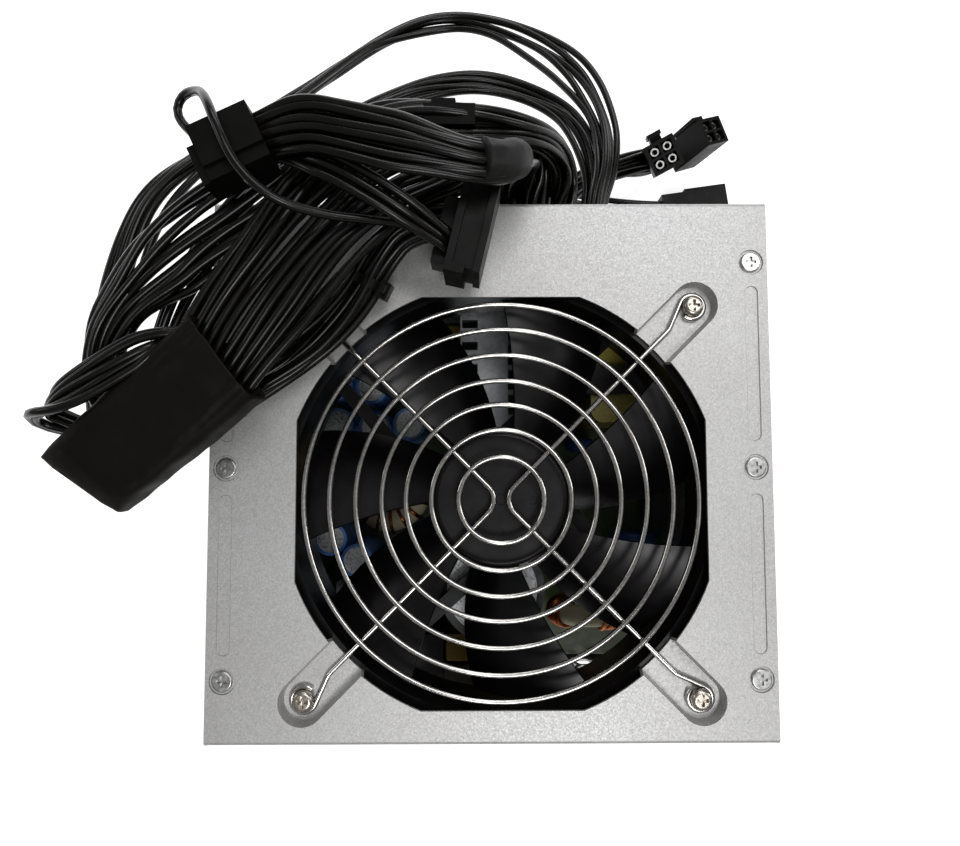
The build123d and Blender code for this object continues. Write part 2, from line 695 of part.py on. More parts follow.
with BuildPart() as disc_capacitors:
    for x, y, disc_radius in ((52.0, -25.0, 8.0), (22.0, -20.0, 5.5), (34.0, 8.0, 5.5)):
        disc_plane = Plane(origin=(x, y, BOARD_TOP + disc_radius + 2.5), z_dir=(0, 1, 0))
        with BuildSketch(disc_plane.offset(-2.2)):
            Circle(disc_radius)
        extrude(amount=4.4)
    fillet(disc_capacitors.edges(), radius=1.4)
    with BuildSketch(Plane.XY.offset(BOARD_TOP)):
        for x, y in ((52.0, -25.0), (22.0, -20.0), (34.0, 8.0)):
            with Locations((x, y)):
                with GridLocations(5.0, 0, 2, 1):
                    Rectangle(0.8, 0.8)
    extrude(amount=5.0)
save(disc_capacitors, "disc_capacitors")

with BuildPart() as fuse:
    fuse_plane = Plane(origin=(-45.0, -44.0, BOARD_TOP + 4.0), z_dir=(1, 0, 0))
    with BuildSketch(fuse_plane.offset(-10)):
        Circle(2.6)
    extrude(amount=20.0)
    with BuildSketch(Plane.XY.offset(BOARD_TOP)):
        with Locations((-45.0, -44.0)):
            with GridLocations(16.0, 0, 2, 1):
                Rectangle(3.0, 5.6)
    extrude(amount=4.0)
save(fuse, "fuse")

# ================================================================ mains inlet and switch
mains_face = Plane(origin=(0, -DEPTH / 2, 0), x_dir=(1, 0, 0), z_dir=(0, -1, 0))
INLET_DEPTH = 22.0
SOCKET_WIDTH = 24.4
SOCKET_HEIGHT = 16.8
SOCKET_DEPTH = 16.0
with BuildPart() as ac_inlet:
    with BuildSketch(mains_face):
        with Locations((INLET_X, MAINS_Z)):
            RectangleRounded(31.0, 24.0, 2.0)
    extrude(amount=2.0)
    chamfer(ac_inlet.edges().group_by(Axis.Y)[0], length=0.6)
    with BuildSketch(mains_face):
        with Locations((INLET_X, MAINS_Z)):
            Rectangle(27.0, 19.6)
    extrude(amount=-INLET_DEPTH)
    with BuildSketch(mains_face.offset(2.0)):
        with Locations((INLET_X, MAINS_Z)):
            socket = Rectangle(SOCKET_WIDTH, SOCKET_HEIGHT)
        chamfer(socket.vertices().group_by(Axis.Y)[-1], length=4.5)
    extrude(amount=-SOCKET_DEPTH - 2.0, mode=Mode.SUBTRACT)
save(ac_inlet, "ac_inlet")

PIN_SPOTS = ((-7.0, -2.0), (0.0, 2.0), (7.0, -2.0))
with BuildPart() as inlet_pins:
    with BuildSketch(mains_face.offset(-2.5)):
        with Locations((INLET_X, MAINS_Z)):
            with Locations(PIN_SPOTS):
                Rectangle(2.0, 4.0)
    extrude(amount=-(SOCKET_DEPTH - 2.5))
    fillet(inlet_pins.edges().group_by(Axis.Y)[0], radius=0.5)
    with BuildSketch(mains_face.offset(-INLET_DEPTH)):
        with Locations((INLET_X, MAINS_Z)):
            with Locations(PIN_SPOTS):
                Rectangle(0.8, 4.8)
    extrude(amount=-5.0)
save(inlet_pins, "inlet_pins")

SWITCH_DEPTH = 16.0
ROCKER_PIVOT_Y = -DEPTH / 2 + 1.2
PIVOT_RADIUS = 1.0
with BuildPart() as switch_housing:
    with BuildSketch(mains_face):
        with Locations((SWITCH_X, MAINS_Z)):
            RectangleRounded(16.0, 22.0, 1.2)
    extrude(amount=2.0)
    chamfer(switch_housing.edges().group_by(Axis.Y)[0], length=0.5)
    with BuildSketch(mains_face):
        with Locations((SWITCH_X, MAINS_Z)):
            Rectangle(13.0, 19.2)
    extrude(amount=-SWITCH_DEPTH)
    with BuildSketch(mains_face.offset(2.0)):
        with Locations((SWITCH_X, MAINS_Z)):
            Rectangle(10.6, 16.8)
    extrude(amount=-12.0, mode=Mode.SUBTRACT)
    with BuildSketch(Plane.YZ.offset(SWITCH_X - 6.0)):
        with Locations((ROCKER_PIVOT_Y, MAINS_Z)):
            Circle(PIVOT_RADIUS + RUNNING_CLEARANCE)
    extrude(amount=12.0, mode=Mode.SUBTRACT)
    with BuildSketch(mains_face.offset(-SWITCH_DEPTH)):
        with Locations((SWITCH_X, MAINS_Z)):
            with GridLocations(0, 7.0, 1, 2):
                Rectangle(4.8, 0.8)
    extrude(amount=-5.0)
save(switch_housing, "switch_housing")

# rocker: a wedge that turns about a level axis just inside the bezel
ROCKER_TILT = 11.0
with BuildPart() as switch_rocker:
    with BuildSketch(Plane.YZ.offset(SWITCH_X - 5.0)):
        with BuildLine():
            rocker_y = ROCKER_PIVOT_Y
            Polyline(
                (rocker_y - 1.6, MAINS_Z),
                (rocker_y - 3.2, MAINS_Z + 7.6),
                (rocker_y + 2.6, MAINS_Z + 7.3),
                (rocker_y + 5.5, MAINS_Z + 3.0),
                (rocker_y + 5.5, MAINS_Z - 3.0),
                (rocker_y + 4.6, MAINS_Z - 6.3),
                (rocker_y - 0.4, MAINS_Z - 7.4),
                (rocker_y - 1.6, MAINS_Z),
            )
        make_face()
    extrude(amount=10.0)
    fillet(switch_rocker.edges().filter_by(Axis.X), radius=0.6)
    # pivot stubs that sit in the housing's side walls
    with BuildSketch(Plane.YZ.offset(SWITCH_X - 5.85)):
        with Locations((ROCKER_PIVOT_Y, MAINS_Z)):
            Circle(PIVOT_RADIUS)
    extrude(amount=11.7)
save(switch_rocker, "switch_rocker")


# wires from the inlet and the switch down to the board
with BuildPart() as mains_wires:
    for x, z, foot_x in ((-57.0, 22.0, -58.5), (-43.0, 22.0, -50.5)):
        wire_points = [(x, -45.0, z), (x, -40.0, z), (foot_x, -37.4, 15.0), (foot_x, -37.4, BOARD_TOP)]
        with BuildLine() as wire_line:
            FilletPolyline(*wire_points, radius=[2.5, 2.5])
        swept_wire(wire_line, 1.2)
save(mains_wires, "mains_wires")

# fan lead: from the motor plate out along a strut and down to the board
with BuildPart() as fan_lead:
    with BuildLine() as lead_line:
        FilletPolyline(
            (14.0, -6.0, FAN_BOTTOM - 1.2),
            (18.0, 4.0, FAN_BOTTOM - 2.2),
            (18.0, 14.0, 38.0),
            (18.0, 16.0, 24.0),
            (18.0, 16.0, BOARD_TOP + 6.0),
            radius=[6.0, 12.0, 30.0],
        )
    swept_wire(lead_line, 1.2)
    with BuildSketch(Plane.XY.offset(BOARD_TOP)):
        with Locations((18.0, 16.0)):
            Rectangle(7.6, 5.6)
    extrude(amount=7.0)
save(fan_lead, "fan_lead")

# ================================================================ cable outlet
cable_face = Plane(origin=(0, DEPTH / 2, 0), x_dir=(-1, 0, 0), z_dir=(0, 1, 0))
with BuildPart() as cable_grommet:
    with BuildSketch(cable_face.offset(-SHEET - 1.6)):
        with Locations((-GROMMET_X, GROMMET_Z)):
            SlotOverall(GROMMET_LENGTH + 4.0, GROMMET_HEIGHT + 4.0)
    extrude(amount=SHEET + 3.2)
    with BuildSketch(cable_face.offset(-SHEET)):
        with Locations((-GROMMET_X, GROMMET_Z)):
            SlotOverall(GROMMET_LENGTH + 6.0, GROMMET_HEIGHT + 6.0)
            SlotOverall(GROMMET_LENGTH - 0.1, GROMMET_HEIGHT - 0.1, mode=Mode.SUBTRACT)
    extrude(amount=SHEET, mode=Mode.SUBTRACT)
    with BuildSketch(cable_face.offset(-6)):
        with Locations((-GROMMET_X, GROMMET_Z)):
            SlotOverall(GROMMET_LENGTH - 3.0, GROMMET_HEIGHT - 3.0)
    extrude(amount=12.0, mode=Mode.SUBTRACT)
    fillet(cable_grommet.edges().group_by(Axis.Y)[-1], radius=0.6)
save(cable_grommet, "cable_grommet")

# inner harness: the wires' flat stretch from the board to the outlet
with BuildPart() as inner_harness:
    with BuildLine(Plane(origin=(GROMMET_X, 0, 0), x_dir=(0, 1, 0), z_dir=(1, 0, 0))) as harness_line:
        FilletPolyline(
            (60.0, BOARD_TOP),
            (60.0, GROMMET_Z),
            (CABLE_START_Y, GROMMET_Z),
            radius=[9.2],
        )
    harness_path = harness_line.wires()[0]
    with BuildSketch(Plane(origin=harness_path @ 0, x_dir=(1, 0, 0), z_dir=(0, 0, 1))):
        SlotOverall(GROMMET_LENGTH - 5.0, 17.0)
    sweep(path=harness_path)
save(inner_harness, "inner_harness")

# ================================================================ cable harness
# Each cable is a plain tube along a route; the wires in it are laid side by side later.
ROUTES = {
    "main_cable": (
        9.0,
        [
            (14.5, 69.5, 63.8),
            (14.5, 80, 63.8),
            (13.5, 91.5, 71),
            (4, 94.5, 80.5),
            (-8, 86.5, 91),
            (-18.5, 79, 98.3),
            (-28, 72.5, 102.5),
            (-39, 61.5, 104),
            (-52, 44.5, 104),
            (-65, 27.5, 103.5),
        ],
    ),
    "front_cable": (
        8.0,
        [
            (5.5, 69.5, 63.8),
            (5.5, 81, 63.8),
            (6, 85.5, 75),
            (7.5, 81.5, 91),
            (7.5, 76.5, 104.5),
            (0, 70.5, 114),
            (-15, 72.8, 116.5),
            (-32, 77, 116),
            (-46, 80.8, 113.5),
            (-53.6, 81.5, 110.1),
        ],
    ),
    "loop_cable": (
        6.5,
        [
            (22.5, 69.5, 64.6),
            (22.5, 80, 64.6),
            (21.5, 89, 73),
            (15.5, 90.5, 85),
            (6.5, 89, 94.5),
            (-5, 88, 100),
            (-22, 88, 101.5),
            (-45, 80.5, 101),
            (-63, 71, 100.7),
            (-80.5, 59, 100.5),
            (-93, 46, 98.5),
            (-101, 33.5, 95),
            (-101.5, 19.5, 90.5),
            (-91, 10, 88.6),
            (-76, 13.5, 90.5),
            (-61, 22.5, 92),
            (-47, 32, 92),
            (-35.5, 43, 92),
            (-28.5, 54.5, 93),
            (-20.5, 62, 96),
            (-12, 65, 99),
        ],
    ),
    "long_drive_cable": (
        6.5,
        [
            (33.5, 69.5, 63),
            (33.5, 80, 63),
            (38, 94, 61),
            (37.5, 114.5, 53),
            (26, 140, 41),
            (6, 155.5, 34),
            (-17, 161, 31),
            (-41, 149.5, 36),
            (-59, 127, 47),
            (-73, 105, 62),
            (-84, 90, 75),
            (-92, 76, 83),
            (-97.5, 61, 85.5),
            (-103, 46.5, 84.5),
            (-107.5, 32, 81.5),
            (-108.5, 18, 81),
            (-103.5, 6, 86),
            (-96, -4, 92.5),
        ],
    ),
    "short_drive_cable": (
        6.5,
        [
            (32, 69.5, 55.6),
            (32, 79, 55.6),
            (34.5, 92, 55.3),
            (32, 107, 51.5),
            (25.5, 121, 46),
            (5, 130.5, 44),
            (-16, 129, 47.5),
            (-35, 117, 57),
            (-50, 99.5, 72),
            (-64, 81, 87),
            (-77, 67, 92.5),
            (-87, 53, 92.5),
            (-92.5, 40, 92),
            (-92, 27.5, 94),
            (-86, 16.5, 99),
        ],
    ),
    "cpu_cable": (
        7.5,
        [
            (20, 69.5, 55.6),
            (20, 80, 55.6),
            (27, 91.5, 48.5),
            (37, 98, 44),
            (46, 102.5, 40.5),
            (54.5, 105.3, 38.5),
        ],
    ),
    "cpu_branch": (
        4.6,
        [
            (38, 99, 42),
            (46, 104, 31),
            (56, 109.5, 17.5),
            (65.5, 114.5, 8.5),
            (73.8, 118, 11.9),
        ],
    ),
    "spare_cable": (
        5.0,
        [
            (7, 69.5, 55.6),
            (7, 78, 55.6),
            (11, 89, 46),
            (19, 96.5, 29),
            (31, 100.5, 13),
            (46, 101, 4.5),
            (62, 99.5, 4),
            (69.5, 99, 4.5),
        ],
    ),
    "plug_tail": (
        4.6,
        [
            (-54, 74.5, 108),
            (-45, 73.3, 112),
            (-38, 70.5, 114),
            (-28, 64.8, 114),
            (-18, 59, 110.5),
            (-9.7, 53.7, 104.5),
        ],
    ),
    "sense_wire": (
        2.3,
        [
            (-68, 77.5, 106),
            (-74.5, 83, 103.5),
            (-78.8, 88, 103),
            (-77, 92.6, 104),
            (-71, 91.8, 108),
            (-66, 85, 116.3),
            (-62.5, 77.5, 119.6),
            (-58.2, 68, 118.8),
            (-50.5, 61.2, 116.5),
            (-40.5, 59.5, 111.5),
            (-29.5, 59.5, 107.8),
            (-20, 60, 104),
            (-11, 56, 101),
        ],
    ),
    "fold_wires": (
        4.6,
        [
            (-68, 36.5, 105.5),
            (-79, 34, 107.5),
            (-91.3, 28.5, 106.5),
            (-103, 22.5, 104),
            (-110, 18.5, 101),
            (-113, 11, 97),
            (-101, 4, 97),
        ],
    ),
}


def corner_radii(points):
    """Largest arc each corner has room for: 0.45 of its shorter run over tan(half turn)."""
    radii = []
    for before, here, after in zip(points, points[1:], points[2:]):
        run_in = Vector(*here) - Vector(*before)
        run_out = Vector(*after) - Vector(*here)
        half_turn = radians(run_in.get_angle(run_out)) / 2
        radii.append(0.45 * min(run_in.length, run_out.length) / tan(half_turn))
    return radii


for cable_name, (diameter, route) in ROUTES.items():
    bend_radii = corner_radii(route)
    with BuildPart() as cable:
        with BuildLine() as cable_line:
            FilletPolyline(*route, radius=bend_radii)
        swept_wire(cable_line, diameter / 2)
    cable_length = cable_line.wires()[0].length
    expected = cable_length * pi * diameter**2 / 4
    print(
        f"{cable_name}: length {cable_length:.0f}, tightest bend {min(bend_radii):.1f}"
        f" = {min(bend_radii) / diameter:.1f} diameters, volume ratio {cable.part.volume / expected:.4f}"
    )
    save(cable, cable_name)

# ---------------------------------------------------------------- plugs and what holds the cables
PLUG_PITCH = 4.2
PLUG_LENGTH = 19.6


def plug_plane(rear, axis, across):
    """Plane on a plug's wire side, z towards the mating face."""
    return Plane(origin=rear, x_dir=across, z_dir=axis)


def square_plug(plane, columns):
    """Two-row square-cell housing with a latch arm and keyed cell mouths."""
    width = columns * PLUG_PITCH + 1.4
    with BuildSketch(plane) as body:
        Rectangle(width, 2 * PLUG_PITCH + 1.4)
    extrude(body.sketch, amount=PLUG_LENGTH)
    with BuildSketch(plane.offset(PLUG_LENGTH)) as cells:
        with GridLocations(PLUG_PITCH, PLUG_PITCH, columns, 2):
            Rectangle(3.3, 3.3)
    extrude(cells.sketch, amount=-12.0, mode=Mode.SUBTRACT)
    # latch arm over a raised pad
    with BuildSketch(plane.offset(4.0)) as pad:
        with Locations((0, PLUG_PITCH + 1.9)):
            Rectangle(3.6, 3.0)
    extrude(pad.sketch, amount=10.0)
    with BuildSketch(plane.offset(1.0)) as latch:
        with Locations((0, PLUG_PITCH + 3.2)):
            Rectangle(4.6, 1.2)
    extrude(latch.sketch, amount=14.0)


CPU_PLUG_A = plug_plane((60.0, 106.6, 37.1), (-0.20, -0.36, 0.91), (0.88, 0.38, 0.34))
CPU_PLUG_B = plug_plane((74.1, 118.0, 11.8), (0.35, 0.10, 0.93), (0.86, 0.36, -0.36))
SPARE_PLUG_SPOT = (81.5, 98.5, 0.0)

with BuildPart() as cpu_plug_a:
    square_plug(CPU_PLUG_A, 2)
save(cpu_plug_a, "cpu_plug_a")

with BuildPart() as cpu_plug_b:
    square_plug(CPU_PLUG_B, 2)
save(cpu_plug_b, "cpu_plug_b")

with BuildPart() as plug_terminals:
    for plane in (CPU_PLUG_A, CPU_PLUG_B):
        with BuildSketch(plane.offset(PLUG_LENGTH - 12.0)):
            with GridLocations(PLUG_PITCH, PLUG_PITCH, 2, 2):
                Circle(1.3)
                Circle(0.85, mode=Mode.SUBTRACT)
        extrude(amount=10.6)
save(plug_terminals, "plug_terminals")

# large plug at the end of the front cable
LARGE_PLUG = Plane(origin=(-61.1, 75.4, 104.6), x_dir=(0.903, 0.428, 0), z_dir=(0, 0, 1))
with BuildPart() as large_plug:
    with BuildSketch(LARGE_PLUG):
        Rectangle(15.0, 13.6)
    extrude(amount=10.6)
    with BuildSketch(LARGE_PLUG.offset(10.6)):
        with Locations((0, 1.6)):
            Rectangle(15.0, 10.4)
    extrude(amount=1.2)
    with BuildSketch(LARGE_PLUG.offset(1.5)):
        with Locations((-8.3, -1.6)):
            Rectangle(2.6, 10.0)
    extrude(amount=8.0)
    with BuildSketch(Plane(LARGE_PLUG.from_local_coords((-7.5, -6.8, 0)), LARGE_PLUG.x_dir, -LARGE_PLUG.y_dir)):
        with Locations((7.5, -5.3)):
            with GridLocations(PLUG_PITCH, PLUG_PITCH, 3, 2):
                Rectangle(3.2, 3.2)
    extrude(amount=-9.0, mode=Mode.SUBTRACT)
save(large_plug, "large_plug")

# upright drive plug that overhangs the fan face
DRIVE_PLUG = Plane(origin=(-5.6, 59.2, 93.0), x_dir=(0.973, -0.230, 0), z_dir=(0, 0, 1))
with BuildPart() as drive_plug:
    with BuildSketch(DRIVE_PLUG):
        Rectangle(7.0, 22.0)
    extrude(amount=13.5)
    with BuildSketch(DRIVE_PLUG):
        with Locations((4.4, 0)):
            Rectangle(1.8, 23.6)
        with Locations((-1.0, -11.6)):
            Rectangle(5.0, 2.4)
    extrude(amount=15.0)
    with BuildSketch(DRIVE_PLUG.offset(13.5)):
        with Locations((-2.6, 0)):
            Rectangle(1.8, 22.0)
    extrude(amount=1.5)
    with BuildSketch(DRIVE_PLUG.offset(3.0)):
        with Locations((-5.4, -2.0)):
            Rectangle(4.0, 17.0)
    extrude(amount=8.0)
save(drive_plug, "drive_plug")

# low stepped plug behind the case and a second one on the loop cable
with BuildPart() as spare_plug:
    spare_plane = Plane(origin=SPARE_PLUG_SPOT, x_dir=(0.99, 0.14, 0), z_dir=(0, 0, 1))
    with BuildSketch(spare_plane):
        with Locations((0, -0.6)):
            Rectangle(25.0, 19.0)
        with Locations((-6.2, 9.5)):
            Rectangle(12.6, 2.0, mode=Mode.SUBTRACT)
        with Locations((4.5, 7.5)):
            Rectangle(16.0, 4.0)
        with Locations((-13.0, 3.0)):
            Rectangle(3.0, 4.0)
    extrude(amount=8.0)
    with BuildSketch(spare_plane.offset(8.0)):
        with Locations((0, -5.0)):
            Rectangle(21.0, 8.0)
    extrude(amount=1.6)
save(spare_plug, "spare_plug")

with BuildPart() as chain_plug:
    chain_plane = Plane(origin=(-10.5, 86.3, 99.8), x_dir=(0.99, 0.0, 0.05), z_dir=(0.02, 0.98, 0.2))
    with BuildSketch(chain_plane):
        Rectangle(13.0, 6.6)
    extrude(amount=5.0)
    with BuildSketch(chain_plane.offset(5.0)):
        with Locations((-1.6, 0)):
            Rectangle(6.0, 5.0)
    extrude(amount=1.4)
save(chain_plug, "chain_plug")

# heat-shrink boot where the front cable dives behind the case
with BuildPart() as heat_shrink:
    boot_plane = Plane(origin=(-0.6, 72.0, 113.8), x_dir=(0, 1, 0.5), z_dir=(0.62, 0.42, -0.66))
    with BuildSketch(boot_plane):
        Circle(4.9)
    with BuildSketch(boot_plane.offset(7.5)):
        Circle(5.4)
    with BuildSketch(boot_plane.offset(13.0)):
        Circle(4.7)
    loft()
save(heat_shrink, "heat_shrink")

# cable tie round the loop cable
with BuildPart() as cable_tie:
    tie_plane = Plane(origin=(-32.0, 48.0, 92.5), x_dir=(0.894, -0.447, 0), z_dir=(0.446, 0.892, 0.074))
    with BuildSketch(tie_plane.offset(-1.3)):
        Circle(4.3)
        Circle(3.25, mode=Mode.SUBTRACT)
    extrude(amount=2.6)
    with BuildSketch(tie_plane.offset(-2.2)):
        with Locations((4.7, -0.6)):
            Rectangle(3.0, 4.2)
    extrude(amount=4.4)
    with BuildSketch(tie_plane.offset(-1.1)):
        with Locations((5.2, -3.6)):
            Rectangle(1.0, 5.0)
    extrude(amount=2.2)
save(cable_tie, "cable_tie")

# wide flat wrap that holds the folded harness together
WRAP_LENGTH = 50.0
WRAP_WIDTH = 26.0
WRAP_THICKNESS = 12.0
with BuildPart() as cable_wrap:
    wrap_plane = Plane(
        origin=(-81.7, 11.9, 101.0 - WRAP_THICKNESS / 2 + 0.6),
        x_dir=(0.763, 0.638, 0.104),
        z_dir=(-0.095, -0.05, 0.99),
    )
    with BuildSketch(wrap_plane):
        RectangleRounded(WRAP_LENGTH, WRAP_WIDTH, 3.0)
    extrude(amount=WRAP_THICKNESS)
    fillet(cable_wrap.edges().group_by(Axis(wrap_plane.origin, wrap_plane.z_dir))[-1], radius=2.5)
    fillet(cable_wrap.edges().group_by(Axis(wrap_plane.origin, wrap_plane.z_dir))[0], radius=2.5)
save(cable_wrap, "cable_wrap")
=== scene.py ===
import math
import random

import bmesh
import bpy
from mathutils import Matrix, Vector, noise


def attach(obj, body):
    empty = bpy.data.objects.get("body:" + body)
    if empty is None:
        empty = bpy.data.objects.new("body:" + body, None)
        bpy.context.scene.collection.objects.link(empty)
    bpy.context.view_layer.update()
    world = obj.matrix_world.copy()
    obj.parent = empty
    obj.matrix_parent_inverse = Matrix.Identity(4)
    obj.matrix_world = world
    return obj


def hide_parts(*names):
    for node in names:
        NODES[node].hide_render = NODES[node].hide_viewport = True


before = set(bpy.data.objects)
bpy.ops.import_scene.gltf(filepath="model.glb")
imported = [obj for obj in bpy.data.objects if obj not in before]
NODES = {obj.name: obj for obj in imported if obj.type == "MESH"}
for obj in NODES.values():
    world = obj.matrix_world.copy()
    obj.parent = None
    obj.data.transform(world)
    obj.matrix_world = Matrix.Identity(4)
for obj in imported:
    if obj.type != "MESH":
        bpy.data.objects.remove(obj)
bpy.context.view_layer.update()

MM = 0.001
WIRE = 2.3 * MM
STEP = 1.8 * MM
UP = Vector((0, 0, 1))


# ---- camera --------------------------------------------------------------

LENS_MM = 26.25
SENSOR_MM = 36.0
NEAR_CLIP = 0.01
CAMERA_PLACE = (-0.0039, 0.0003, 0.2726)
CAMERA_TURN_DEG = (3.57, -0.26, -0.15)

camera_data = bpy.data.cameras.new("camera")
camera_data.lens = LENS_MM
camera_data.sensor_width = SENSOR_MM
camera_data.clip_start = NEAR_CLIP
camera = bpy.data.objects.new("camera", camera_data)
camera.location = CAMERA_PLACE
camera.rotation_euler = [math.radians(angle) for angle in CAMERA_TURN_DEG]
bpy.context.scene.collection.objects.link(camera)
bpy.context.scene.camera = camera


# ---- helpers for lines and meshes ----------------------------------------


def metres(points):
    return [Vector(p) * MM for p in points]


def bell(offset, spread):
    """A smooth bump: 1 in the middle, fading to nothing past its spread."""
    return math.exp(-((offset / spread) ** 2))


def evenly(points, step):
    """Points a step apart along a line, its two ends kept."""
    reach = [0.0]
    for a, b in zip(points, points[1:]):
        reach.append(reach[-1] + (b - a).length)
    count = max(int(round(reach[-1] / step)), 2)
    line = []
    j = 0
    for i in range(count + 1):
        want = reach[-1] * i / count
        while j < len(points) - 2 and reach[j + 1] < want:
            j += 1
        span = reach[j + 1] - reach[j]
        share = (want - reach[j]) / span if span > 0 else 0.0
        line.append(points[j].lerp(points[j + 1], min(share, 1.0)))
    return line


def centre_line(points):
    """The smooth line of a route: a NURBS spline with the route's points as control points."""
    curve = bpy.data.curves.new("route", "CURVE")
    curve.dimensions = "3D"
    curve.resolution_u = 16
    spline = curve.splines.new("NURBS")
    spline.points.add(len(points) - 1)
    for spot, point in zip(spline.points, points):
        spot.co = (point.x, point.y, point.z, 1.0)
    spline.order_u = 3
    spline.use_endpoint_u = True
    holder = bpy.data.objects.new("route", curve)
    bpy.context.scene.collection.objects.link(holder)
    bpy.context.view_layer.update()
    mesh = bpy.data.meshes.new_from_object(holder)
    line = [v.co.copy() for v in mesh.vertices]
    bpy.data.objects.remove(holder)
    bpy.data.meshes.remove(mesh)
    bpy.data.curves.remove(curve)
    return evenly(line, STEP)


def length_of(line):
    return sum((b - a).length for a, b in zip(line, line[1:]))


def tangents(line):
    last = len(line) - 1
    return [(line[min(i + 1, last)] - line[max(i - 1, 0)]).normalized() for i in range(last + 1)]


def frames_along(line):
    """A side and a top direction at each point.

    Sides are level where the line runs level, and turn smoothly between.
    """
    ways = tangents(line)
    sides = [None] * len(line)
    flat = [t.cross(UP) for t in ways]
    start = max(range(len(line)), key=lambda i: flat[i].length + 0.2 * i / len(line))
    sides[start] = flat[start].normalized()
    for order in (range(start + 1, len(line)), range(start - 1, -1, -1)):
        previous = sides[start]
        for i in order:
            t = ways[i]
            side = previous - t * previous.dot(t)
            side.normalize()
            level = flat[i]
            pull = max(level.length - 0.5, 0.0) * 0.5
            if level.length > 0.01 and pull > 0:
                level = level.normalized()
                if level.dot(side) < 0:
                    level = -level
                side = side.lerp(level, pull).normalized()
            sides[i] = side
            previous = side
    tops = [s.cross(t).normalized() for s, t in zip(sides, ways)]
    return sides, tops


def between(stations, t):
    """The values at t from rows of (t, value, value, ...), eased between rows."""
    if t <= stations[0][0]:
        return stations[0][1:]
    for a, b in zip(stations, stations[1:]):
        if t <= b[0]:
            k = (t - a[0]) / (b[0] - a[0])
            k = k * k * (3 - 2 * k)
            return tuple(x + (y - x) * k for x, y in zip(a[1:], b[1:]))
    return stations[-1][1:]


def mesh_object(name, build):
    """A new object whose mesh is made by build(bmesh)."""
    bm = bmesh.new()
    build(bm)
    bmesh.ops.recalc_face_normals(bm, faces=bm.faces)
    mesh = bpy.data.meshes.new(name)
    bm.to_mesh(mesh)
    bm.free()
    for face in mesh.polygons:
        face.use_smooth = True
    obj = bpy.data.objects.new(name, mesh)
    bpy.context.scene.collection.objects.link(obj)
    return obj


def tube(bm, line, radius, sides=8):
    """A closed round tube along a line, with slightly domed ends."""
    ways = tangents(line)
    side = ways[0].cross(UP)
    if side.length < 0.1:
        side = ways[0].cross(Vector((1, 0, 0)))
    side.normalize()
    rings = []
    for point, t in zip(line, ways):
        side = (side - t * side.dot(t)).normalized()
        top = side.cross(t)
        ring = []
        for k in range(sides):
            turn = 2 * math.pi * k / sides
            ring.append(bm.verts.new(point + (side * math.cos(turn) + top * math.sin(turn)) * radius))
        rings.append(ring)
    for a, b in zip(rings, rings[1:]):
        for k in range(sides):
            bm.faces.new((a[k], a[(k + 1) % sides], b[(k + 1) % sides], b[k]))
    for ring, point, t, sign in ((rings[0], line[0], ways[0], -1), (rings[-1], line[-1], ways[-1], 1)):
        tip = bm.verts.new(point + t * sign * radius * 0.35)
        for k in range(sides):
            bm.faces.new((ring[k], ring[(k + 1) % sides], tip))


# ---- cords ---------------------------------------------------------------


def packed_spots(count, pitch):
    """Places of wires packed in a round bunch, on a triangular grid, sorted across."""
    spots = []
    for row in range(-5, 6):
        for column in range(-6, 7):
            x = (column + 0.5 * (row % 2)) * pitch
            y = row * pitch * math.sqrt(3) / 2
            spots.append((math.hypot(x + 0.1 * pitch, y + 0.05 * pitch), x, y))
    spots.sort()
    chosen = [(x, y) for _, x, y in spots[:count]]
    return sorted(chosen)


def flat_spots(rows, pitch, layer):
    """Places of wires side by side in a few layers, sorted across."""
    spots = []
    for level, count in enumerate(rows):
        height = (level - (len(rows) - 1) / 2) * layer
        for k in range(count):
            spots.append(((k - (count - 1) / 2) * pitch, height))
    return sorted(spots)


def bundle(name, node, route, rows, stations, wander, seed, wire=WIRE, strays=()):
    """A bundle of separate wires along a route, as one mesh, in the place of a CAD cord.

    Each station is (share of length, flatness, width factor, side shift mm, lift mm, roll degrees).
    """
    line = centre_line(metres(route))
    sides, tops = frames_along(line)
    count = sum(rows)
    tight = packed_spots(count, wire * 1.03)
    wide = flat_spots(rows, wire * 1.08, wire * 0.92)
    chance = random.Random(seed)
    phases = [chance.uniform(0, 100) for _ in range(count)]
    last = len(line) - 1

    def build(bm):
        for k in range(count):
            points = []
            for i, point in enumerate(line):
                t = i / last
                flatness, width, shift, lift, roll = between(stations, t)
                x = tight[k][0] * (1 - flatness) + wide[k][0] * flatness * width
                y = tight[k][1] * (1 - flatness) + wide[k][1] * flatness
                ease = min(1.0, 6 * t, 6 * (1 - t)) * wander * MM
                along = t * length_of(line) / 0.045
                x += ease * noise.noise(Vector((along, x * 90, seed * 3.1)))
                x += 1.1 * ease * noise.noise(Vector((along * 1.3, phases[k], 7.7)))
                y += 1.0 * ease * noise.noise(Vector((along * 1.1, phases[k], 31.3)))
                for wire_number, middle, spread, push, rise in strays:
                    if wire_number == k:
                        swell = bell(t - middle, spread)
                        x += push * MM * swell
                        y += rise * MM * swell
                turn = math.radians(roll)
                a = x * math.cos(turn) - y * math.sin(turn) + shift * MM
                b = x * math.sin(turn) + y * math.cos(turn) + lift * MM
                points.append(point + sides[i] * a + tops[i] * b)
            tube(bm, points, wire / 2)

    obj = mesh_object(name, build)
    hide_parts(node)
    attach(obj, "case")
    return obj, line


